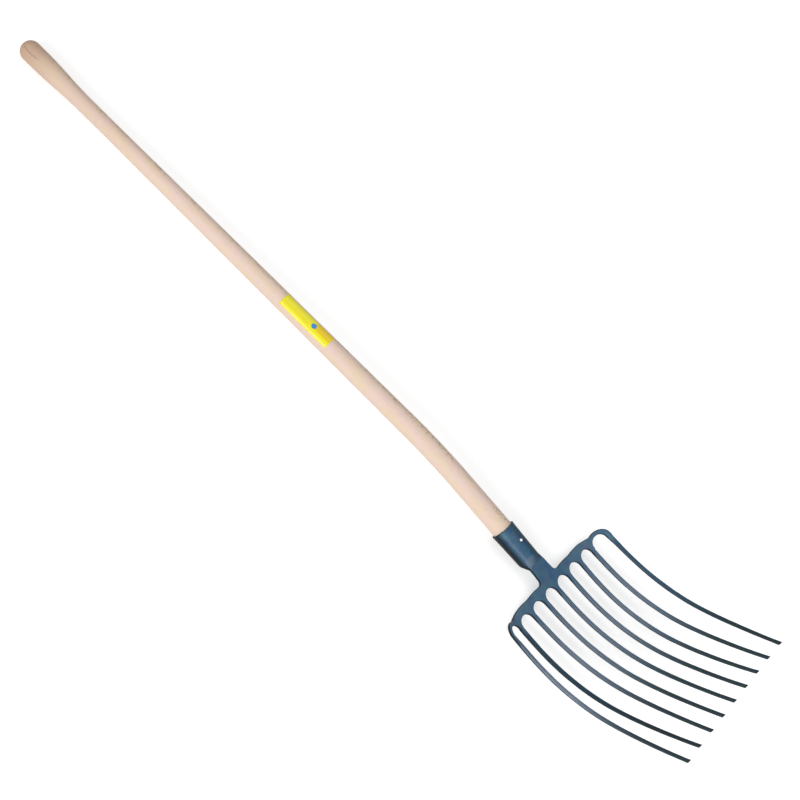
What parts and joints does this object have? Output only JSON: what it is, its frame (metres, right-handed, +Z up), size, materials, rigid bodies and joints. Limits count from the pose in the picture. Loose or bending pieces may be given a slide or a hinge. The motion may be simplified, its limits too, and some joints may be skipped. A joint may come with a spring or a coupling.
{
  "type": "stone fork",
  "caption": "Long-handled stone fork: a wide scoop head of curved blunt steel tines, forged to a socket on a bent wooden handle with a knob end, lying on its back.",
  "frame": {"origin": "middle of the footprint, on the ground that the fork lies on", "axes": "+Y from the knob towards the tine tips, +Z up, out of the scoop's hollow side, +X across the tines"},
  "size_m": [0.3084, 1.659, 0.1663],
  "materials": {
    "head_varnish": "semi-gloss dark slate varnish on forged steel",
    "handle_wood": "bare sanded pale wood",
    "label_paper": "glossy printed paper",
    "nail_zinc": "bright zinc plating"
  },
  "bodies": {
    "root": {"handle": "handle_wood", "socket": "head_varnish", "head_plate": "head_varnish", "tine_1": "head_varnish", "tine_2": "head_varnish", "tine_3": "head_varnish", "tine_4": "head_varnish", "tine_5": "head_varnish", "tine_6": "head_varnish", "tine_7": "head_varnish", "tine_8": "head_varnish", "tine_9": "head_varnish", "fixing_nail": "nail_zinc", "label": "label_paper"}
  },
  "joints": []
}
